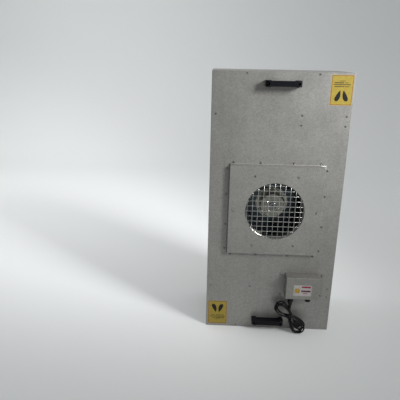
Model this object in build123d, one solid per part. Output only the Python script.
from build123d import *
import os
from math import acos, atan, cos, degrees, pi, radians, sin, sqrt, tan

os.makedirs("parts", exist_ok=True)

# Fan filter unit, standing upright on its short end.  X is across the width, Y runs from the fan
# side to the filter side, Z is up the long side.  Depths below are measured back from the front
# (fan-side) sheet; the finished pieces are shifted so that the origin is under the middle.
# All sizes are in millimetres.

# ------------------------------------------------------------------ driving dimensions
# Sheet-metal casing
CASING_W = 575.0
CASING_H = 1175.0
CASING_D = 314.0
SHEET = 1.2
BEND_R = 2.5
LAP = 0.1
END_FLANGE = 18.0
END_RELIEF = 4.0

# Front opening behind the raised pan, and the pan itself
FAN_Z = CASING_H / 2
OPENING = 380.0
OPENING_R = 40.0
PAN_FLANGE = 450.0
PAN_FACE = 400.0
PAN_SLOPE = 5.0
PAN_RISE = 20.0
PAN_CORNER_R = 2.5
PAN_SCREW_EDGE = 12.5
PAN_SCREW_END = 40.0
PAN_SCREW_INNER = 70.0
INLET_D = 257.0

# Spun inlet ring and welded guard behind the pan
RING_SHEET = 1.5
RING_MARGIN = 7.0
RING_SCREW_EDGE = 11.5
THROAT_D = 240.0
BELL_R = 16.0
THROAT_LENGTH = 22.0
JOGGLE = 6.0
GUARD_WIRE = 2.2
GUARD_PITCH = 23.1
GUARD_GRID_X = -5.0
GUARD_WELD = 0.5
GUARD_D = 290.0
GUARD_RIM = 3.0
GUARD_FIT = 1.5

# Backward-curved impeller
IMPELLER_D = 350.0
IMPELLER_SHEET = 2.0
IMPELLER_EYE_GAP = 1.5
IMPELLER_OVERLAP = 8.0
IMPELLER_NECK = 9.0
IMPELLER_SHROUD_RISE = 30.0
IMPELLER_BACK = 122.0
BLADES = 7
BLADE_INLET_D = 208.0
BLADE_ANGLE = 30.0
BLADE_TIP_MARGIN = 1.0

# External-rotor motor inside the impeller
ROTOR_D = 116.0
ROTOR_WALL = 6.0
ROTOR_FRONT = 66.0
ROTOR_FLANGE_D = 146.0
ROTOR_FLANGE_T = 4.0
ROTOR_CROWN_R = 6.0
RUNNING_GAP = 0.6
SHAFT_D = 12.0
SHAFT_FIT = 0.05
BEARING_D = 28.0
BEARING_W = 9.0
BEARING_STEP = 4.0
STATOR_BASE_D = 124.0
STATOR_BASE_T = 8.0
STATOR_CLEAR = 8.0

# Strap that carries the motor behind the impeller
STRAP_WIDTH = 160.0
STRAP_SHEET = 2.5
STRAP_SPAN = 392.0
STRAP_FOOT = 28.0
STRAP_BEND = 6.0
DAMPER_T = 6.0
DAMPER_D = 18.0
MOTOR_SCREW_CIRCLE = 100.0

# Hat-section stiffeners behind the front sheet
HAT_CROWN = 18.0
HAT_DEPTH = 25.0
HAT_FLANGE = 19.0
HAT_SHEET = 1.0
HAT_BEND = 2.0
HAT_ROW = 193.5
RIVET_LINE = 41.0

# Filter cell: mitred rails, pleated pack, sealant, mesh guard and seals
FILTER_D = 69.0
FILTER_FIT = 0.5
RAIL_WALL = 1.8
RAIL_FACE = 26.0
RAIL_BACK = 14.0
SEAL_W = 12.0
SEAL_T = 5.0
STOP_LEG = 15.0
STOP_FLANGE = 20.0
SEALANT_T = 6.0
PLEAT_PITCH = 9.0
PLEAT_DEPTH = 46.0
PAPER = 0.6
MESH_T = 1.0
MESH_COLUMNS = 6
MESH_ROWS = 18
MESH_STRAND = 7.0
MESH_BORDER = 10.0
GASKET_W = 16.0
GASKET_T = 6.0

# Bridge handles
HANDLE_L = 145.0
HANDLE_H = 42.0
HANDLE_W = 25.5
HANDLE_LEG = 21.0
HANDLE_GRIP_T = 18.0
HANDLE_GRIP_W = 22.0
HANDLE_OUT_R = 14.0
HANDLE_IN_R = 8.0
HANDLE_EDGE = 1.6
HANDLE_EDGE_Z = 46.0
HANDLE_SCREW_SPAN = 123.0
HANDLE_SCREW_SEAT = 8.0
HANDLE_SCREW_BORE = 10.5

# Control box on the front sheet
BOX_SIDE = 67.5
BOX_RISE = 43.0
BOX_W = 149.0
BOX_H = 106.0
BOX_D = 52.0
BOX_SHEET = 1.2
BOX_EDGE_R = 2.0
BOX_PLATE_EDGE = 25.5
BOX_PLATE_H = 124.0
BOX_PLATE_DROP = 7.0
BOX_SCREW_EDGE = 8.5
BOX_SCREW_Z = 100.0
BOX_MID = 26.0
GROMMET_IN = 39.0
GROMMET_UP = 25.0
GROMMET_D = 22.0
GROMMET_BORE = 11.0
GROMMET_LIP = 3.0

# Speed knob and its control
KNOB_IN = 43.0
KNOB_D = 25.0
KNOB_H = 17.0
KNOB_GAP = 1.0
KNOB_FLUTES = 12
KNOB_FLUTE_R = 1.6
KNOB_SHAFT_D = 6.0
KNOB_SHAFT_FIT = 0.05
BUSH_D = 9.0
BUSH_NUT_T = 2.5
BUSH_NUT_D = 14.0
CONTROL_W = 28.0
CONTROL_H = 20.0

# Parts inside the control box
TERMINAL_L = 52.0
TERMINAL_W = 22.0
TERMINAL_H = 18.0
TERMINAL_WAYS = 5
CAPACITOR_D = 30.0
CAPACITOR_L = 62.0

# Cable gland, bend boot, free lead and bundled lead
GLAND_IN = 28.0
GLAND_THREAD = 16.0
GLAND_HEX = 22.0
GLAND_HEX_T = 7.0
GLAND_DOME_D = 20.0
GLAND_DOME_T = 10.0
GLAND_NUT_T = 5.0
BOOT_L = 46.0
BOOT_TOP_D = 18.0
BOOT_END_D = 10.0
BOOT_RIBS = 5
LEAD_D = 7.0
HANK_X = 3.0
HANK_Y = -9.0
HANK_Z = -33.0
HANK_T = 24.0
HANK_UPPER_L = 86.0
HANK_UPPER_W = 50.0
HANK_TURN = 11.0
HANK_LOWER_L = 98.0
HANK_LOWER_W = 66.0
HANK_WAIST_L = 30.0
HANK_WAIST_W = 24.0
TIE_W = 6.0
TIE_T = 1.5
PLUG_W = 36.0
PLUG_T = 17.0
PLUG_L = 40.0
PLUG_NECK_W = 18.0
PLUG_NECK_L = 14.0
PLUG_SLEEVE_L = 24.0
PLUG_SLEEVE_D = 11.0
PLUG_SLEEVE_END_D = 9.0
PLUG_START = 8.0
PLUG_DEPTH = 12.5
PLUG_EDGE_R = 3.0
PIN_D = 4.0
PIN_L = 19.0
PIN_PITCH = 9.5

# Fasteners
SCREW_D = 4.8
SCREW_HEAD_D = 9.0
SCREW_HEAD_T = 2.4
SCREW_L = 9.0
RIVET_D = 4.0
RIVET_HEAD_D = 7.5
RIVET_HEAD_T = 1.3
HOLE_FIT = 0.25

# ------------------------------------------------------------------ derived places
SHIFT_Y = -(CASING_D + GASKET_T - BOX_D) / 2
WALL_X = CASING_W / 2 - SHEET
PAN_BACK = SHEET - PAN_RISE
RING_FRONT = PAN_BACK + GUARD_RIM + GUARD_FIT
RING_D = PAN_FACE - 2 * RING_MARGIN
RING_SCREW_CIRCLE = RING_D - 2 * RING_SCREW_EDGE
THROAT_END = RING_FRONT + BELL_R + THROAT_LENGTH
EYE_FRONT = THROAT_END - IMPELLER_OVERLAP
IMPELLER_EYE = THROAT_D + 2 * (RING_SHEET + IMPELLER_EYE_GAP)
ROTOR_FLANGE_Y = IMPELLER_BACK - ROTOR_FLANGE_T
STATOR_BASE_Y = IMPELLER_BACK + IMPELLER_SHEET + STATOR_CLEAR
STRAP_WEB_Y = STATOR_BASE_Y + STATOR_BASE_T + DAMPER_T
FILTER_W = CASING_W - 2 * (SHEET + FILTER_FIT)
FILTER_Z0 = SHEET + FILTER_FIT
FILTER_Z1 = CASING_H - SHEET - FILTER_FIT
FILTER_FRONT = CASING_D - FILTER_D
STOP_Y = FILTER_FRONT - SEAL_T
MESH_Y = CASING_D - RAIL_WALL - MESH_T
HAT_ROWS = [HAT_ROW, CASING_H - HAT_ROW]
BOX_RIGHT = CASING_W / 2 - BOX_SIDE
BOX_X = BOX_RIGHT - BOX_W / 2
BOX_Z = HAT_ROW + BOX_RISE
BOX_PLATE_W = BOX_W + 2 * BOX_PLATE_EDGE
BOX_SCREW_X = BOX_PLATE_W - 2 * BOX_SCREW_EDGE
GROMMET_X = BOX_X - BOX_W / 2 + GROMMET_IN
GROMMET_Z = BOX_Z + GROMMET_UP
KNOB_X = BOX_RIGHT - KNOB_IN
GLAND_X = BOX_X - BOX_W / 2 + GLAND_IN
BOX_BOTTOM = BOX_Z - BOX_H / 2
KNOB_TOP = BOX_BOTTOM - BUSH_NUT_T - KNOB_GAP
GLAND_BOTTOM = BOX_BOTTOM - GLAND_HEX_T - GLAND_DOME_T
BOOT_END_Z = GLAND_BOTTOM - BOOT_L
PAN_SCREW_LINE = PAN_FLANGE / 2 - PAN_SCREW_EDGE
PAN_SCREW_OUTER = PAN_FLANGE / 2 - PAN_SCREW_END

# Stiffener rivets: across position and height of each one
RIVET_EDGE_X = CASING_W / 2 - 19.5
RIVET_MID_X = 87.5
STIFFENER_RIVETS = [
    (-RIVET_EDGE_X, HAT_ROWS[1] + RIVET_LINE / 2),
    (RIVET_MID_X, HAT_ROWS[1] + RIVET_LINE / 2),
    (RIVET_EDGE_X, HAT_ROWS[1] + RIVET_LINE / 2),
    (RIVET_MID_X, HAT_ROWS[1] - RIVET_LINE / 2),
    (RIVET_EDGE_X, HAT_ROWS[1] - RIVET_LINE / 2),
    (-RIVET_EDGE_X, HAT_ROWS[0] + RIVET_LINE / 2),
    (-RIVET_MID_X, HAT_ROWS[0] + RIVET_LINE / 2),
    (RIVET_EDGE_X, HAT_ROWS[0] + RIVET_LINE / 2),
    (RIVET_EDGE_X, HAT_ROWS[0] - RIVET_LINE / 2),
]
END_RIVET_X = 146.0
END_RIVET_INSET = 8.0


# ------------------------------------------------------------------ small helpers
def block(x0, x1, y0, y1, z0, z1):
    """A box between two opposite corners."""
    return Pos((x0 + x1) / 2, (y0 + y1) / 2, (z0 + z1) / 2) * Box(x1 - x0, y1 - y0, z1 - z0)


def bar_y(x, y0, y1, z, diameter):
    """A round bar along Y from y0 to y1."""
    return Location((x, (y0 + y1) / 2, z), (90, 0, 0)) * Cylinder(diameter / 2, y1 - y0)


def bar_z(x, y, z0, z1, diameter):
    """A round bar along Z from z0 to z1."""
    return Pos(x, y, (z0 + z1) / 2) * Cylinder(diameter / 2, z1 - z0)


def turned_y(*outline):
    """A profile of (radius, depth) edges turned about the fan's axis."""
    return Pos(0, 0, FAN_Z) * revolve(make_face(list(outline)), Axis.Y, 360)


def front_plane(depth):
    """A drawing plane at one depth: local x is X, local y is Z, and it faces the fan side."""
    return Plane(origin=(0, depth, 0), x_dir=(1, 0, 0), z_dir=(0, -1, 0))


def plate(depth, thickness, sketch):
    """A flat plate whose front face is the sketch, reaching back by its thickness."""
    return extrude(front_plane(depth) * sketch, -thickness)


def folded(points, radius, thickness):
    """The section of a folded sheet: a bent line and the sheet's thickness to its left."""
    line = FilletPolyline(*points, radius=radius)
    return make_face(offset(line, amount=thickness, side=Side.LEFT))


def ring_plate(y0, y1, half_x, z0, z1, inset):
    """A rectangular ring in the XZ plane between two depths."""
    outer = block(-half_x, half_x, y0, y1, z0, z1)
    return outer - block(-half_x + inset, half_x - inset, y0 - 1, y1 + 1, z0 + inset, z1 - inset)


def screw_y(x, z, seat, length, head_d=SCREW_HEAD_D, head_t=SCREW_HEAD_T, diameter=SCREW_D):
    """A button-head fastener driven along +Y with its head on the sheet at one depth."""
    head = Location((x, seat - head_t / 2, z), (90, 0, 0)) * Cylinder(head_d / 2, head_t)
    head = chamfer(head.edges().group_by(Axis.Y)[0], head_t * 0.45)
    return head + bar_y(x, seat - 0.1, seat + length, z, diameter)


def ring_screw_places():
    """The six screws on the raised face, on one circle round the inlet."""
    radius = RING_SCREW_CIRCLE / 2
    turns = [radians(60 * i) for i in range(6)]
    return [(radius * cos(a), FAN_Z + radius * sin(a)) for a in turns]


def pan_screw_places():
    """Four screws along each side of the pan's flange."""
    steps = [-PAN_SCREW_OUTER, -PAN_SCREW_INNER, PAN_SCREW_INNER, PAN_SCREW_OUTER]
    sides = [(s, FAN_Z + k * PAN_SCREW_LINE) for s in steps for k in (-1, 1)]
    return sides + [(k * PAN_SCREW_LINE, FAN_Z + s) for s in steps for k in (-1, 1)]


def handle_places():
    """The heights of the lower and the upper handle."""
    return [HANDLE_EDGE_Z, CASING_H - HANDLE_EDGE_Z]


def handle_screw_places():
    return [(k * HANDLE_SCREW_SPAN / 2, z) for z in handle_places() for k in (-1, 1)]


def box_screw_places():
    """The four screws in the control box's side flanges."""
    z = BOX_Z - BOX_PLATE_DROP
    return [(BOX_X + i * BOX_SCREW_X / 2, z + k * BOX_SCREW_Z / 2) for i in (-1, 1) for k in (-1, 1)]


def end_rivet_places():
    """Two rivets near each end of the front sheet, into the end panels' flanges."""
    return [(k * END_RIVET_X, z) for z in (END_RIVET_INSET, CASING_H - END_RIVET_INSET) for k in (-1, 1)]


def side_screw_heights():
    """Heights of the screws that hold the filter through each side wall."""
    return [CASING_H * (i + 0.5) / 4 for i in range(4)]


def motor_screw_places():
    radius = MOTOR_SCREW_CIRCLE / 2
    turns = [radians(45 + 90 * i) for i in range(4)]
    return [(radius * cos(a), FAN_Z + radius * sin(a)) for a in turns]


def save(name, shape):
    """Shift a finished piece into the unit's frame and write it."""
    export_step(Pos(0, SHIFT_Y, 0) * shape, f"parts/{name}.step")


# ------------------------------------------------------------------ casing
def casing_wrap():
    """Front sheet and both side walls, folded from one sheet, with all its holes."""
    def channel(width, radius):
        sheet = Pos(0, CASING_D / 2) * Rectangle(width, CASING_D)
        return fillet(sheet.vertices().sort_by(Axis.Y)[:2], radius)

    section = channel(CASING_W, BEND_R) - Pos(0, SHEET) * channel(2 * WALL_X, BEND_R - SHEET)
    wrap = extrude(section, CASING_H)
    opening = Pos(0, FAN_Z) * RectangleRounded(OPENING, OPENING, OPENING_R)
    wrap -= plate(-1, SHEET + 2, opening)
    for x, z in STIFFENER_RIVETS + end_rivet_places():
        wrap -= bar_y(x, -1, SHEET + 1, z, RIVET_D + HOLE_FIT)
    for x, z in pan_screw_places() + handle_screw_places() + box_screw_places():
        wrap -= bar_y(x, -1, SHEET + 1, z, SCREW_D + HOLE_FIT)
    for z in side_screw_heights():
        hole = Location((0, FILTER_FRONT + FILTER_D / 2, z), (0, 90, 0))
        wrap -= hole * Cylinder((SCREW_D + HOLE_FIT) / 2, CASING_W + 2)
    return wrap - bar_y(GROMMET_X, -1, SHEET + 1, GROMMET_Z, GROMMET_D)


def end_panel(top):
    """A folded end: the web, and flanges lapped behind the front sheet and the side walls."""
    x_in = WALL_X - LAP
    y_in = SHEET + LAP
    web = block(-x_in, x_in, y_in, CASING_D, 0, SHEET)
    web = fillet(web.edges().filter_by(Axis.Z).group_by(Axis.Y)[0], BEND_R)
    front = block(-x_in + END_RELIEF, x_in - END_RELIEF, y_in, y_in + SHEET, 0, END_FLANGE)
    panel = web + front
    for side in (-1, 1):
        edges = sorted((side * x_in, side * (x_in - SHEET)))
        panel += block(*edges, y_in + END_RELIEF, STOP_Y - STOP_LEG - END_RELIEF, 0, END_FLANGE)
    for x in (-END_RIVET_X, END_RIVET_X):
        panel -= bar_y(x, 0, 4 * SHEET, END_RIVET_INSET, RIVET_D + HOLE_FIT)
    if top:
        return Pos(0, 0, CASING_H) * panel.mirror(Plane.XY)
    return panel


def stiffener(height):
    """A hat-section rail across the inside of the front sheet."""
    half = RIVET_LINE / 2 + HAT_FLANGE / 2
    y0 = SHEET + LAP
    y1 = y0 + HAT_DEPTH
    points = [(-half, y0), (-HAT_CROWN / 2, y0), (-HAT_CROWN / 2, y1)]
    points += [(-x, y) for x, y in reversed(points)]
    section = folded(points, HAT_BEND, HAT_SHEET)
    length = 2 * (WALL_X - LAP - SHEET - END_RELIEF)
    rail = Rot(0, 90, 0) * extrude(section, length / 2, both=True)
    rail = Pos(0, 0, height) * rail
    for x, z in STIFFENER_RIVETS:
        if abs(z - height) < half:
            rail -= bar_y(x, 0, y0 + 2 * HAT_SHEET, z, RIVET_D + HOLE_FIT)
    for x, z in box_screw_places():
        if abs(z - height) < half:
            rail -= bar_y(x, 0, y0 + 2 * HAT_SHEET, z, SCREW_D + HOLE_FIT)
    return rail


# ------------------------------------------------------------------ inlet
def inlet_pan():
    """The raised square pan: flange, sloping sides, flat face and the round inlet."""
    foot = PAN_FACE + 2 * PAN_SLOPE
    lean = degrees(atan(PAN_SLOPE / PAN_RISE))
    flange = Pos(0, FAN_Z) * RectangleRounded(PAN_FLANGE, PAN_FLANGE, PAN_CORNER_R)
    raised = Pos(0, FAN_Z) * RectangleRounded(foot, foot, PAN_CORNER_R + PAN_SLOPE)
    hollow = Pos(0, FAN_Z) * RectangleRounded(foot - 2 * SHEET, foot - 2 * SHEET, PAN_CORNER_R + PAN_SLOPE - SHEET)
    pan = plate(-SHEET, SHEET, flange)
    pan += extrude(front_plane(0) * raised, PAN_RISE, taper=lean)
    pan -= extrude(front_plane(0) * hollow, PAN_RISE - SHEET, taper=lean)
    pan -= bar_y(0, -PAN_RISE - 1, 1, FAN_Z, INLET_D)
    for x, z in pan_screw_places():
        pan -= bar_y(x, -2 * SHEET, 1, z, SCREW_D + HOLE_FIT)
    for x, z in ring_screw_places():
        pan -= bar_y(x, -PAN_RISE - 1, PAN_BACK + 1, z, SCREW_D + HOLE_FIT)
    return pan


def inlet_ring():
    """The spun nozzle: flange against the pan, a joggle that makes room for the guard, the bell."""
    r_out = RING_D / 2
    r_joggle = GUARD_D / 2 + JOGGLE
    r_guard = GUARD_D / 2 + GUARD_FIT
    r_bell = THROAT_D / 2 + BELL_R
    r_throat = THROAT_D / 2
    y_a = PAN_BACK
    y_b = RING_FRONT
    t = RING_SHEET
    mid = sqrt(0.5)
    front_arc = ThreePointArc(
        (r_bell, y_b),
        (r_bell - BELL_R * mid, y_b + BELL_R * (1 - mid)),
        (r_throat, y_b + BELL_R),
    )
    back_arc = ThreePointArc(
        (r_throat + t, y_b + BELL_R),
        (r_bell - (BELL_R - t) * mid, y_b + BELL_R - (BELL_R - t) * mid),
        (r_bell, y_b + t),
    )
    ring = turned_y(
        Polyline((r_out, y_a), (r_joggle, y_a), (r_guard, y_b), (r_bell, y_b)),
        front_arc,
        Polyline((r_throat, y_b + BELL_R), (r_throat, THROAT_END), (r_throat + t, THROAT_END),
                 (r_throat + t, y_b + BELL_R)),
        back_arc,
        Polyline((r_bell, y_b + t), (r_guard + t, y_b + t), (r_joggle + t, y_a + t), (r_out, y_a + t),
                 (r_out, y_a)),
    )
    for x, z in ring_screw_places():
        ring -= bar_y(x, y_a - 1, y_a + t + 1, z, SCREW_D + HOLE_FIT)
    return ring


def inlet_guard():
    """Welded grid cut from stock: upright wires in front, level wires behind, sunk in at the welds."""
    radius = GUARD_D / 2
    y0 = PAN_BACK + 0.1
    y1 = y0 + GUARD_WIRE
    y2 = y1 - GUARD_WELD
    y3 = y2 + GUARD_WIRE
    half = GUARD_WIRE / 2
    reach = radius - GUARD_RIM / 2
    count = int(reach / GUARD_PITCH)
    steps = [i * GUARD_PITCH for i in range(-count - 1, count + 1)]

    def span(place):
        """Half the length of a wire at this distance from the middle, so that it ends in the rim."""
        return sqrt(reach ** 2 - (abs(place) + half) ** 2)

    guard = turned_y(Polyline((radius - GUARD_RIM, y0), (radius, y0), (radius, y3),
                              (radius - GUARD_RIM, y3), close=True))
    for x in [step + GUARD_GRID_X for step in steps if abs(step + GUARD_GRID_X) < reach - GUARD_RIM]:
        guard += block(x - half, x + half, y0, y1, FAN_Z - span(x), FAN_Z + span(x))
    for z in [step for step in steps if abs(step) < reach - GUARD_RIM]:
        guard += block(-span(z), span(z), y2, y3, FAN_Z + z - half, FAN_Z + z + half)
    return guard


# ------------------------------------------------------------------ impeller and motor
def impeller():
    """Back plate, backward-curved blades and the flared front shroud, welded into one wheel."""
    r_out = IMPELLER_D / 2
    r_eye = IMPELLER_EYE / 2
    r_hub = ROTOR_D / 2 + 0.3
    t = IMPELLER_SHEET
    y_neck = EYE_FRONT + IMPELLER_NECK
    y_rim = y_neck + IMPELLER_SHROUD_RISE
    rise = (y_rim - y_neck) / (r_out - r_eye)
    mid_r = r_eye + 0.3 * (r_out - r_eye)
    mid_y = y_neck + 0.52 * (y_rim - y_neck)
    shroud = turned_y(
        Line((r_eye, EYE_FRONT), (r_eye, y_neck)),
        ThreePointArc((r_eye, y_neck), (mid_r, mid_y), (r_out, y_rim)),
        Line((r_out, y_rim), (r_out, y_rim - t)),
        ThreePointArc((r_out, y_rim - t), (mid_r + 0.6 * t, mid_y - 0.9 * t), (r_eye + t, y_neck)),
        Polyline((r_eye + t, y_neck), (r_eye + t, EYE_FRONT), (r_eye, EYE_FRONT)),
    )
    back = turned_y(Polyline((r_hub, IMPELLER_BACK), (r_out, IMPELLER_BACK), (r_out, IMPELLER_BACK + t),
                             (r_hub, IMPELLER_BACK + t), close=True))

    # the blade's arc meets both circles at the same angle to the rim
    r1 = BLADE_INLET_D / 2
    r2 = r_out - BLADE_TIP_MARGIN
    lean = radians(BLADE_ANGLE)
    r_arc = (r2 ** 2 - r1 ** 2) / (2 * cos(lean) * (r2 - r1))
    centre = sqrt(r_arc ** 2 + r2 ** 2 - 2 * r_arc * r2 * cos(lean))

    def at(radius, turn):
        return (centre - radius * cos(turn), radius * sin(turn))

    def turn_to(reach):
        return acos((centre ** 2 + r_arc ** 2 - reach ** 2) / (2 * centre * r_arc))

    a1, a2 = turn_to(r1), turn_to(r2)
    inner, outer = r_arc - t / 2, r_arc + t / 2
    section = make_face([
        ThreePointArc(at(outer, a1), at(outer, (a1 + a2) / 2), at(outer, a2)),
        Line(at(outer, a2), at(inner, a2)),
        ThreePointArc(at(inner, a2), at(inner, (a1 + a2) / 2), at(inner, a1)),
        Line(at(inner, a1), at(outer, a1)),
    ])
    blade = extrude(front_plane(IMPELLER_BACK + t / 2) * section, IMPELLER_BACK - EYE_FRONT)
    # blades end inside the shroud's sheet, along a line between its two faces
    space = Pos(0, 0, -FAN_Z) * turned_y(
        Line((0, y_neck - 0.5 * t), (r_eye + 0.5 * t, y_neck - 0.5 * t)),
        ThreePointArc((r_eye + 0.5 * t, y_neck - 0.5 * t), (mid_r + 0.3 * t, mid_y - 0.45 * t),
                      (r_out + t, y_rim - 0.5 * t + rise * t)),
        Polyline((r_out + t, y_rim - 0.5 * t + rise * t), (r_out + t, IMPELLER_BACK + t),
                 (0, IMPELLER_BACK + t), (0, y_neck - 0.5 * t)),
    )
    blade = blade & space
    wheel = shroud + back
    for i in range(BLADES):
        wheel += Pos(0, 0, FAN_Z) * (Rot(0, 360 * i / BLADES, 0) * blade)
    for x, z in rotor_rivet_places():
        wheel -= bar_y(x, IMPELLER_BACK - 1, IMPELLER_BACK + t + 1, z, RIVET_D + HOLE_FIT)
    return wheel


def rotor_rivet_places():
    """Six rivets that join the wheel's back plate to the rotor's flange."""
    radius = (ROTOR_D + ROTOR_FLANGE_D) / 4
    turns = [radians(60 * i + 30) for i in range(6)]
    return [(radius * cos(a), FAN_Z + radius * sin(a)) for a in turns]


def motor_rotor():
    """The motor's turning cup, with the flange that carries the wheel and a boss for the shaft."""
    r_out = ROTOR_D / 2
    r_in = r_out - ROTOR_WALL
    r_shaft = SHAFT_D / 2
    r_boss = r_shaft + 8
    y0 = ROTOR_FRONT
    y_wall = y0 + ROTOR_WALL
    end = IMPELLER_BACK + IMPELLER_SHEET
    flange = ROTOR_FLANGE_D / 2
    cup = turned_y(Polyline(
        (r_shaft, y0), (r_out, y0), (r_out, ROTOR_FLANGE_Y), (flange, ROTOR_FLANGE_Y),
        (flange, IMPELLER_BACK), (r_out, IMPELLER_BACK), (r_out, end), (r_in, end),
        (r_in, y_wall), (r_boss, y_wall), (r_boss, y_wall + 4), (r_shaft, y_wall + 4), close=True))
    rim = cup.edges().filter_by(GeomType.CIRCLE).group_by(Axis.Y)[0].sort_by(SortBy.RADIUS)[-1]
    cup = fillet(rim, ROTOR_CROWN_R)
    # two shallow rings turned into the crown
    for radius in (0.45 * r_out, 0.72 * r_out):
        cup -= turned_y(Polyline((radius, y0 - 1), (radius + 2.5, y0 - 1), (radius + 2.5, y0 + 1.2),
                                 (radius, y0 + 1.2), close=True))
    for x, z in rotor_rivet_places():
        cup -= bar_y(x, ROTOR_FLANGE_Y - 1, IMPELLER_BACK + 1, z, RIVET_D + HOLE_FIT)
    return cup


def rotor_rivets():
    return Compound([screw_y(x, z, ROTOR_FLANGE_Y, ROTOR_FLANGE_T + IMPELLER_SHEET + 1, RIVET_HEAD_D,
                             RIVET_HEAD_T, RIVET_D) for x, z in rotor_rivet_places()])


def motor_stator():
    """The standing half: wound core inside the cup, base plate and the bore for both bearings."""
    r_core = ROTOR_D / 2 - ROTOR_WALL - RUNNING_GAP
    r_bearing = BEARING_D / 2 + SHAFT_FIT
    r_pass = BEARING_D / 2 - BEARING_STEP
    base = STATOR_BASE_D / 2
    y0 = ROTOR_FRONT + ROTOR_WALL + 4 + STATOR_CLEAR / 2
    y1 = STATOR_BASE_Y
    y2 = y1 + STATOR_BASE_T
    core_end = IMPELLER_BACK + IMPELLER_SHEET - 1
    neck = r_core - 12
    stator = turned_y(Polyline(
        (r_bearing, y0), (r_core, y0), (r_core, core_end), (neck, core_end), (neck, y1),
        (base, y1), (base, y2), (r_bearing, y2), (r_bearing, y2 - BEARING_W - 1),
        (r_pass, y2 - BEARING_W - 1), (r_pass, y0 + BEARING_W), (r_bearing, y0 + BEARING_W), close=True))
    for x, z in motor_screw_places():
        stator -= bar_y(x, y1 - 1, y2 + 1, z, SCREW_D + HOLE_FIT)
    return stator


def bearing_depths():
    y0 = ROTOR_FRONT + ROTOR_WALL + 4 + STATOR_CLEAR / 2
    return [y0, STATOR_BASE_Y + STATOR_BASE_T - BEARING_W - 1]


def motor_bearings():
    """Two ball bearings, each drawn as one shielded ring."""
    rings = []
    for y in bearing_depths():
        ring = bar_y(0, y, y + BEARING_W, FAN_Z, BEARING_D)
        rings.append(ring - bar_y(0, y - 1, y + BEARING_W + 1, FAN_Z, SHAFT_D + 2 * SHAFT_FIT))
    return Compound(rings)


def motor_shaft():
    shaft = bar_y(0, ROTOR_FRONT + 1, bearing_depths()[1] + BEARING_W, FAN_Z, SHAFT_D)
    return chamfer(shaft.edges().filter_by(GeomType.CIRCLE), 0.8)


def motor_strap():
    """The folded strap behind the wheel: two feet on the front sheet, two legs and the web."""
    half = STRAP_SPAN / 2
    foot = half + STRAP_FOOT
    y0 = SHEET + LAP
    points = [(-foot, y0), (-half, y0), (-half, STRAP_WEB_Y)]
    points += [(-x, y) for x, y in reversed(points)]
    section = folded(points, STRAP_BEND, STRAP_SHEET)
    strap = Pos(0, 0, FAN_Z - STRAP_WIDTH / 2) * extrude(section, STRAP_WIDTH)
    for x, z in pan_screw_places():
        strap -= bar_y(x, 0, 2 * STRAP_SHEET + y0, z, SCREW_D + HOLE_FIT)
    for x, z in motor_screw_places():
        strap -= bar_y(x, STRAP_WEB_Y - 2 * STRAP_SHEET, STRAP_WEB_Y + 2 * STRAP_SHEET, z, SCREW_D + HOLE_FIT)
    return strap


def motor_dampers():
    """Rubber rings between the motor's base and the strap."""
    rings = []
    for x, z in motor_screw_places():
        ring = bar_y(x, STATOR_BASE_Y + STATOR_BASE_T, STRAP_WEB_Y, z, DAMPER_D)
        rings.append(ring - bar_y(x, STATOR_BASE_Y, STRAP_WEB_Y + 1, z, SCREW_D + HOLE_FIT))
    return Compound(rings)


def motor_screws():
    length = STATOR_BASE_T + DAMPER_T + STRAP_SHEET + 4
    return Compound([screw_y(x, z, STATOR_BASE_Y, length) for x, z in motor_screw_places()])


# ------------------------------------------------------------------ filter cell
def filter_rails():
    """Four rails cut from one frame section along the mitres."""
    half = FILTER_W / 2
    frame = block(-half, half, FILTER_FRONT, CASING_D, FILTER_Z0, FILTER_Z1)
    wall = RAIL_WALL
    frame -= block(-half + wall, half - wall, FILTER_FRONT + wall, CASING_D - wall, FILTER_Z0 + wall, FILTER_Z1 - wall)
    for inset, y0, y1 in ((RAIL_BACK, FILTER_FRONT - 1, FILTER_FRONT + 2 * wall),
                          (RAIL_FACE, CASING_D - 2 * wall, CASING_D + 1)):
        frame -= block(-half + inset, half - inset, y0, y1, FILTER_Z0 + inset, FILTER_Z1 - inset)
    for z in side_screw_heights():
        hole = Location((0, FILTER_FRONT + FILTER_D / 2, z), (0, 90, 0))
        frame -= hole * Cylinder((SCREW_D + HOLE_FIT) / 2, CASING_W + 2)
    reach = 2 * RAIL_FACE
    z0, z1 = FILTER_Z0, FILTER_Z1
    corners = {
        "left": [(-half, z0), (-half + reach, z0 + reach), (-half + reach, z1 - reach), (-half, z1)],
        "right": [(half, z0), (half, z1), (half - reach, z1 - reach), (half - reach, z0 + reach)],
        "bottom": [(-half, z0), (half, z0), (half - reach, z0 + reach), (-half + reach, z0 + reach)],
        "top": [(-half, z1), (-half + reach, z1 - reach), (half - reach, z1 - reach), (half, z1)],
    }
    rails = {}
    for side, points in corners.items():
        wedge = make_face(Polyline(*points, close=True))
        rails[side] = frame & plate(FILTER_FRONT - 1, FILTER_D + 2, wedge)
    return rails


def filter_stop():
    """The angle frame inside the casing that the filter seals against."""
    x = WALL_X - LAP
    z0, z1 = SHEET + LAP, CASING_H - SHEET - LAP
    leg = ring_plate(STOP_Y - STOP_LEG, STOP_Y, x, z0, z1, SHEET)
    return leg + ring_plate(STOP_Y - SHEET, STOP_Y, x, z0, z1, STOP_FLANGE)


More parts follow.
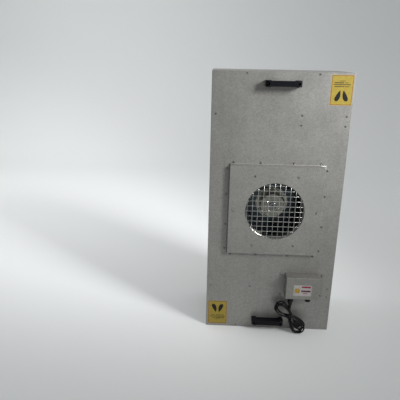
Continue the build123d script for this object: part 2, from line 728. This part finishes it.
def media_pack():
    """The filter paper, folded into deep pleats with upright folds."""
    half = FILTER_W / 2 - RAIL_WALL - SEALANT_T
    folds = int(2 * half / PLEAT_PITCH)
    pitch = 2 * half / folds
    # the paper's thickness measured along Y on the steep sides of the pleats
    thick = PAPER * sqrt(1 + (2 * PLEAT_DEPTH / pitch) ** 2)
    y0 = (FILTER_FRONT + RAIL_WALL + MESH_Y - PLEAT_DEPTH - thick) / 2
    valley = [(-half + pitch * i, y0) for i in range(folds + 1)]
    ridge = [(-half + pitch * (i + 0.5), y0 + PLEAT_DEPTH) for i in range(folds)]
    line = [p for pair in zip(valley, ridge) for p in pair] + [valley[-1]]
    behind = [(x, y + thick) for x, y in reversed(line)]
    section = Polyline(*line, *behind, close=True)
    z0 = FILTER_Z0 + RAIL_WALL + SEALANT_T
    z1 = FILTER_Z1 - RAIL_WALL - SEALANT_T
    return Pos(0, 0, z0) * extrude(make_face(section), z1 - z0)


def media_sealant():
    """The cast ring that joins the paper to the rails."""
    half = FILTER_W / 2 - RAIL_WALL
    z0, z1 = FILTER_Z0 + RAIL_WALL, FILTER_Z1 - RAIL_WALL
    return ring_plate(FILTER_FRONT + RAIL_WALL, MESH_Y, half, z0, z1, SEALANT_T)


def face_mesh():
    """The guard over the filter's outlet: a sheet with staggered diamond openings."""
    half = FILTER_W / 2 - RAIL_WALL - LAP
    z0, z1 = FILTER_Z0 + RAIL_WALL + LAP, FILTER_Z1 - RAIL_WALL - LAP
    mesh = block(-half, half, MESH_Y, MESH_Y + MESH_T, z0, z1)
    inside = RAIL_FACE - RAIL_WALL + MESH_BORDER
    pitch_x = 2 * (half - inside) / MESH_COLUMNS
    pitch_z = (z1 - z0 - 2 * inside) / (MESH_ROWS / 2 + 0.5)
    diamond = make_face(Polyline(
        (-pitch_x / 2 + MESH_STRAND, 0), (0, pitch_z / 2 - MESH_STRAND),
        (pitch_x / 2 - MESH_STRAND, 0), (0, -pitch_z / 2 + MESH_STRAND), close=True))
    holes = Sketch()
    for row in range(MESH_ROWS):
        shifted = row % 2
        for column in range(MESH_COLUMNS - shifted):
            x = -half + inside + pitch_x * (column + 0.5 + shifted / 2)
            z = z0 + inside + pitch_z * (row + 1) / 2
            holes += Pos(x, z) * diamond
    return mesh - plate(MESH_Y - 1, MESH_T + 2, holes)


def filter_seal():
    """The soft seal between the casing's stop frame and the filter."""
    half = FILTER_W / 2
    return ring_plate(STOP_Y, FILTER_FRONT, half, FILTER_Z0, FILTER_Z1, SEAL_W)


def rim_gasket():
    """The black gasket round the filter's outlet face."""
    return ring_plate(CASING_D, CASING_D + GASKET_T, FILTER_W / 2, FILTER_Z0, FILTER_Z1, GASKET_W)


def filter_screws():
    """Screws through both side walls into the rails."""
    y = FILTER_FRONT + FILTER_D / 2
    screws = []
    for z in side_screw_heights():
        for side in (-1, 1):
            screw = screw_y(0, 0, 0, SHEET + FILTER_FIT + RAIL_WALL)
            turned = Rot(0, 0, side * 90) * screw
            screws.append(Pos(side * CASING_W / 2, y, z) * turned)
    return Compound(screws)


# ------------------------------------------------------------------ handles
def handle(height):
    """A moulded bridge handle, hollowed under the grip, with a sunk screw seat in each leg."""
    half = HANDLE_L / 2
    outline = Pos(0, -HANDLE_H / 2) * Rectangle(HANDLE_L, HANDLE_H)
    outline = fillet(outline.vertices().sort_by(Axis.Y)[:2], HANDLE_OUT_R)
    gap_h = HANDLE_H - HANDLE_GRIP_T
    gap = Pos(0, -gap_h / 2 + 1) * Rectangle(HANDLE_L - 2 * HANDLE_LEG, gap_h + 2)
    gap = fillet(gap.vertices().sort_by(Axis.Y)[:2], HANDLE_IN_R)
    grip = extrude(outline - gap, HANDLE_W / 2, both=True)
    rims = grip.edges().filter_by(lambda e: abs(e.center().Z) > HANDLE_W / 2 - 0.1)
    outside = rims.filter_by(lambda e: abs(e.center().X) > half - HANDLE_OUT_R or e.center().Y < 0.1 - HANDLE_H)
    grip = chamfer(outside.filter_by(lambda e: e.center().Y < -1), HANDLE_EDGE)
    slim = (HANDLE_W - HANDLE_GRIP_W) / 2
    reach = half - HANDLE_LEG
    for side in (-1, 1):
        edges = sorted((side * HANDLE_W, side * (HANDLE_W / 2 - slim)))
        grip -= block(-reach, reach, -HANDLE_H - 1, 1, *edges)
    long = grip.edges().filter_by(Axis.X)
    long = long.filter_by(lambda e: e.center().Y < 0.1 - HANDLE_H and e.length > reach)
    grip = chamfer(long, HANDLE_EDGE)
    for side in (-1, 1):
        x = side * HANDLE_SCREW_SPAN / 2
        grip -= bar_y(x, -HANDLE_H - 1, -HANDLE_SCREW_SEAT, 0, HANDLE_SCREW_BORE)
        grip -= bar_y(x, -HANDLE_H, 1, 0, SCREW_D + HOLE_FIT)
    return Pos(0, 0, height) * grip


def handle_screws():
    length = HANDLE_SCREW_SEAT + 2 * SHEET + 3
    return Compound([screw_y(x, z, -HANDLE_SCREW_SEAT, length) for x, z in handle_screw_places()])


# ------------------------------------------------------------------ control box
def box_plate():
    """The box's mounting plate, which shows as a flange at both sides."""
    z = BOX_Z - BOX_PLATE_DROP
    base = block(BOX_X - BOX_PLATE_W / 2, BOX_X + BOX_PLATE_W / 2, -SHEET, 0,
                 z - BOX_PLATE_H / 2, z + BOX_PLATE_H / 2)
    for x, z in box_screw_places():
        base -= bar_y(x, -2 * SHEET, 1, z, SCREW_D + HOLE_FIT)
    return base - bar_y(GROMMET_X, -2 * SHEET, 1, GROMMET_Z, GROMMET_D)


def box_cover():
    """The folded cover: front and four walls, with the gland and knob holes in its lower wall."""
    x0, x1 = BOX_X - BOX_W / 2, BOX_X + BOX_W / 2
    z0, z1 = BOX_Z - BOX_H / 2, BOX_Z + BOX_H / 2
    outer = block(x0, x1, -BOX_D, -SHEET, z0, z1)
    front = outer.faces().sort_by(Axis.Y)[0]
    upright = outer.edges().filter_by(Axis.Y)
    cover = fillet(list(front.edges()) + list(upright), BOX_EDGE_R)
    t = BOX_SHEET
    cover -= block(x0 + t, x1 - t, -BOX_D + t, 0, z0 + t, z1 - t)
    cover -= bar_z(GLAND_X, -BOX_MID, z0 - 1, z0 + 2 * t, GLAND_THREAD + HOLE_FIT)
    return cover - bar_z(KNOB_X, -BOX_MID, z0 - 1, z0 + 2 * t, BUSH_D + HOLE_FIT)


def plate_screws():
    return Compound([screw_y(x, z, -SHEET, SCREW_L) for x, z in box_screw_places()])


def wiring_grommet():
    """The rubber grommet where the motor's wiring passes into the casing."""
    lip = GROMMET_D + 2 * GROMMET_LIP
    y0, y1 = -SHEET, SHEET
    body = bar_y(GROMMET_X, y0 - GROMMET_LIP, y0, GROMMET_Z, lip)
    body += bar_y(GROMMET_X, y0 - 0.5, y1 + 0.5, GROMMET_Z, GROMMET_D)
    body += bar_y(GROMMET_X, y1, y1 + GROMMET_LIP, GROMMET_Z, lip)
    return body - bar_y(GROMMET_X, -20, 20, GROMMET_Z, GROMMET_BORE)


def terminal_block():
    """The screw-terminal strip on the mounting plate, with an entry and a screw for each way."""
    x0 = BOX_X - 10
    z0 = BOX_Z + BOX_H / 2 - BOX_SHEET - TERMINAL_W - 8
    strip = block(x0, x0 + TERMINAL_L, -SHEET - TERMINAL_H, -SHEET, z0, z0 + TERMINAL_W)
    step = TERMINAL_L / TERMINAL_WAYS
    for i in range(TERMINAL_WAYS):
        x = x0 + step * (i + 0.5)
        strip -= bar_y(x, -SHEET - TERMINAL_H - 1, -SHEET - 8, z0 + TERMINAL_W / 2, 5)
        strip -= block(x - 2.5, x + 2.5, -SHEET - 8, -SHEET - 3, z0 - 1, z0 + 7)
    return strip


def run_capacitor():
    """The motor's run capacitor, lying across the box on the mounting plate."""
    radius = CAPACITOR_D / 2
    x0 = BOX_X - 8
    z = BOX_Z - 8
    can = Location((x0 + CAPACITOR_L / 2, -SHEET - radius, z), (0, 90, 0)) * Cylinder(radius, CAPACITOR_L)
    return chamfer(can.edges().filter_by(GeomType.CIRCLE), 1.5)


def speed_control():
    """The speed control: its body, the bush through the box's lower wall and the bush's nut."""
    z_in = BOX_BOTTOM + BOX_SHEET
    half = CONTROL_W / 2
    body = block(KNOB_X - half, KNOB_X + half, -BOX_MID - CONTROL_W / 2, -BOX_MID + CONTROL_W / 2,
                 z_in, z_in + CONTROL_H)
    body += bar_z(KNOB_X, -BOX_MID, BOX_BOTTOM - BUSH_NUT_T, z_in + 1, BUSH_D)
    nut = extrude(Pos(KNOB_X, -BOX_MID) * RegularPolygon(BUSH_NUT_D / 2, 6), BUSH_NUT_T)
    body += Pos(0, 0, BOX_BOTTOM - BUSH_NUT_T) * nut
    bore = KNOB_SHAFT_D + 2 * KNOB_SHAFT_FIT
    return body - bar_z(KNOB_X, -BOX_MID, BOX_BOTTOM - BUSH_NUT_T - 1, z_in + CONTROL_H / 2, bore)


def knob_shaft():
    top = BOX_BOTTOM + BOX_SHEET + CONTROL_H / 2 - 1
    shaft = bar_z(KNOB_X, -BOX_MID, KNOB_TOP - KNOB_H + 5, top, KNOB_SHAFT_D)
    return chamfer(shaft.edges().filter_by(GeomType.CIRCLE), 0.4)


def speed_knob():
    """The fluted knob under the box, with a pointer line cut across its lower face."""
    radius = KNOB_D / 2
    z0 = KNOB_TOP - KNOB_H
    knob = bar_z(0, 0, z0, KNOB_TOP, KNOB_D)
    knob = chamfer(knob.edges().group_by(Axis.Z)[0], 1.5)
    for i in range(KNOB_FLUTES):
        turn = 2 * pi * i / KNOB_FLUTES
        knob -= bar_z(radius * cos(turn), radius * sin(turn), z0 - 1, KNOB_TOP - 3, 2 * KNOB_FLUTE_R)
    knob -= block(-0.8, 0.8, -radius, -2, z0 - 1, z0 + 0.8)
    knob -= bar_z(0, 0, z0 + 5, KNOB_TOP + 1, KNOB_SHAFT_D)
    return Pos(KNOB_X, -BOX_MID, 0) * knob


# ------------------------------------------------------------------ gland and lead
def cable_gland():
    """The gland's body: thread through the box, hexagon, domed cap and the bore for the lead."""
    z_hex = BOX_BOTTOM - GLAND_HEX_T
    hexagon = extrude(Pos(GLAND_X, -BOX_MID, z_hex) * RegularPolygon(GLAND_HEX / 2, 6, major_radius=False),
                      GLAND_HEX_T)
    thread = bar_z(GLAND_X, -BOX_MID, z_hex + 1, BOX_BOTTOM + BOX_SHEET + GLAND_NUT_T + 3, GLAND_THREAD)
    dome = bar_z(GLAND_X, -BOX_MID, GLAND_BOTTOM, z_hex + 1, GLAND_DOME_D)
    dome = fillet(dome.edges().group_by(Axis.Z)[0], 2.5)
    gland = hexagon + thread + dome
    return gland - bar_z(GLAND_X, -BOX_MID, GLAND_BOTTOM - 1, BOX_BOTTOM + 20, LEAD_D)


def gland_nut():
    """The lock nut inside the box."""
    z0 = BOX_BOTTOM + BOX_SHEET
    nut = extrude(Pos(GLAND_X, -BOX_MID, z0) * RegularPolygon(GLAND_HEX / 2, 6, major_radius=False), GLAND_NUT_T)
    return nut - bar_z(GLAND_X, -BOX_MID, z0 - 1, z0 + GLAND_NUT_T + 1, GLAND_THREAD + HOLE_FIT)


def bend_boot():
    """The tapered boot under the gland, with ribs round it."""
    r_top, r_end = BOOT_TOP_D / 2, BOOT_END_D / 2
    step = BOOT_L / (BOOT_RIBS + 1)

    def radius_at(z):
        return r_end + (r_top - r_end) * (z - BOOT_END_Z) / BOOT_L

    points = [(0, BOOT_END_Z), (r_end, BOOT_END_Z)]
    for i in range(BOOT_RIBS):
        z = BOOT_END_Z + step * (i + 0.6)
        points += [(radius_at(z), z), (radius_at(z) - 0.9, z), (radius_at(z) - 0.9, z + 0.45 * step),
                   (radius_at(z + 0.45 * step), z + 0.45 * step)]
    points += [(r_top, GLAND_BOTTOM), (0, GLAND_BOTTOM)]
    profile = Plane.XZ * make_face(Polyline(*points, close=True))
    return Pos(GLAND_X, -BOX_MID, 0) * revolve(profile, Axis.Z, 360)


# route of the free lead from the boot down into the tied bundle
LEAD_POINTS = [
    (GLAND_X, -BOX_MID, BOOT_END_Z),
    (GLAND_X, -BOX_MID, BOOT_END_Z - 9.0),
    (GLAND_X + 0.8, -BOX_MID - 2.0, BOOT_END_Z - 17.5),
    (GLAND_X + 2.2, -BOX_MID - 5.2, BOOT_END_Z - 25.0),
]


def mains_lead():
    """The short free stretch of the lead, in straight runs joined by tangent arcs."""
    points = [Vector(*p) for p in LEAD_POINTS]
    radii = []
    for a, b, c in zip(points, points[1:], points[2:]):
        turn = radians((b - a).get_angle(c - b))
        radii.append(0.45 * min((b - a).length, (c - b).length) / tan(turn / 2))
    path = FilletPolyline(*points, radius=radii)
    ring = Plane(origin=points[0], z_dir=points[1] - points[0]) * Circle(LEAD_D / 2)
    tube = sweep(ring, path=path)
    print("lead radii", [round(r, 1) for r in radii])
    print("lead volume", round(tube.volume), "section times length", round(ring.area * path.length))
    return tube


def hank_plane():
    """The plane the bundle lies in: its X runs down to the right, its Z faces the fan side."""
    origin = (GLAND_X + HANK_X, HANK_Y - BOX_MID, BOOT_END_Z + HANK_Z)
    return Plane(origin=origin, x_dir=(0.70, -0.10, -0.70), z_dir=(-0.07, -0.98, 0.07))


def lead_hank():
    """The rest of the lead, a figure of eight tied at the waist, with its plug in the lower loop."""
    upper = Pos(-HANK_UPPER_L / 2, -8) * Rot(0, 0, HANK_TURN) * Ellipse(HANK_UPPER_L / 2, HANK_UPPER_W / 2)
    lower = Pos(HANK_LOWER_L / 2 + 1, 0) * Ellipse(HANK_LOWER_L / 2, HANK_LOWER_W / 2)
    outline = upper + lower + Rectangle(HANK_WAIST_L, HANK_WAIST_W)
    body = extrude(hank_plane() * outline, HANK_T / 2, both=True)
    return body - mains_plug() - plug_pins()


def mains_plug():
    """The moulded plug in the lower loop: a flat body, its narrow neck and the tapered sleeve."""
    x1 = PLUG_START + PLUG_SLEEVE_L
    x2 = x1 + PLUG_NECK_L
    x3 = x1 + PLUG_L
    outline = Polyline((x1, -PLUG_NECK_W / 2), (x2, -PLUG_W / 2), (x3, -PLUG_W / 2), (x3, PLUG_W / 2),
                       (x2, PLUG_W / 2), (x1, PLUG_NECK_W / 2), close=True)
    body = extrude(make_face(outline), PLUG_T / 2, both=True)
    body = fillet(body.edges().filter_by(Axis.Z), PLUG_EDGE_R)
    body = chamfer(body.edges().group_by(Axis.Z)[0] + body.edges().group_by(Axis.Z)[-1], PLUG_EDGE_R / 2)
    sleeve = Polyline((PLUG_START, 0), (PLUG_START, PLUG_SLEEVE_END_D / 2), (x1 + 1, PLUG_SLEEVE_D / 2),
                      (x1 + 1, 0), close=True)
    body += revolve(make_face(sleeve), Axis.X, 360)
    return hank_plane() * (Pos(0, 0, -PLUG_DEPTH) * body)


def plug_pins():
    """Three round pins in line, each with a rounded tip, set 3 mm into the plug's face."""
    x0 = PLUG_START + PLUG_SLEEVE_L + PLUG_L
    pins = []
    for k in (-1, 0, 1):
        pin = Location((x0 + PIN_L / 2, k * PIN_PITCH, -PLUG_DEPTH), (0, 90, 0)) * Cylinder(PIN_D / 2, PIN_L)
        pins.append(hank_plane() * chamfer(pin.edges().group_by(Axis.X)[-1], PIN_D / 4))
    return Compound(pins)


def lead_tie():
    """The wire tie round the bundle's waist."""
    outer = Rectangle(TIE_W, HANK_WAIST_W + 2 * TIE_T + 0.2)
    band = extrude(hank_plane() * outer, HANK_T / 2 + TIE_T + 0.1, both=True)
    return band - extrude(hank_plane() * Rectangle(TIE_W + 2, HANK_WAIST_W + 0.2), HANK_T / 2 + 0.1, both=True)


# ------------------------------------------------------------------ fasteners of the front
def panel_rivets():
    """Domed rivets through the front sheet into the stiffeners and the end panels."""
    rivets = []
    for x, z in STIFFENER_RIVETS + end_rivet_places():
        rivets.append(screw_y(x, z, 0, 4 * SHEET, RIVET_HEAD_D, RIVET_HEAD_T, RIVET_D))
    return Compound(rivets)


def pan_screws():
    return Compound([screw_y(x, z, -SHEET, SCREW_L) for x, z in pan_screw_places()])


def ring_screws():
    return Compound([screw_y(x, z, -PAN_RISE, SCREW_L) for x, z in ring_screw_places()])


# ------------------------------------------------------------------ write every piece
save("casing_wrap", casing_wrap())
save("end_panel_bottom", end_panel(False))
save("end_panel_top", end_panel(True))
save("stiffener_lower", stiffener(HAT_ROWS[0]))
save("stiffener_upper", stiffener(HAT_ROWS[1]))
save("panel_rivets", panel_rivets())
save("inlet_pan", inlet_pan())
save("pan_screws", pan_screws())
save("inlet_ring", inlet_ring())
save("ring_screws", ring_screws())
save("inlet_guard", inlet_guard())
save("impeller", impeller())
save("rotor_rivets", rotor_rivets())
save("motor_rotor", motor_rotor())
save("motor_shaft", motor_shaft())
save("motor_bearings", motor_bearings())
save("motor_stator", motor_stator())
save("motor_dampers", motor_dampers())
save("motor_strap", motor_strap())
save("motor_screws", motor_screws())
save("filter_stop", filter_stop())
save("filter_seal", filter_seal())
for side, rail in filter_rails().items():
    save(f"filter_rail_{side}", rail)
save("media_pack", media_pack())
save("media_sealant", media_sealant())
save("face_mesh", face_mesh())
save("rim_gasket", rim_gasket())
save("filter_screws", filter_screws())
for name, height in zip(("handle_bottom", "handle_top"), handle_places()):
    save(name, handle(height))
save("handle_screws", handle_screws())
save("box_plate", box_plate())
save("box_cover", box_cover())
save("plate_screws", plate_screws())
save("wiring_grommet", wiring_grommet())
save("terminal_block", terminal_block())
save("run_capacitor", run_capacitor())
save("speed_control", speed_control())
save("knob_shaft", knob_shaft())
save("speed_knob", speed_knob())
save("cable_gland", cable_gland())
save("gland_nut", gland_nut())
save("bend_boot", bend_boot())
save("mains_lead", mains_lead())
save("lead_hank", lead_hank())
save("lead_tie", lead_tie())
save("mains_plug", mains_plug())
save("plug_pins", plug_pins())
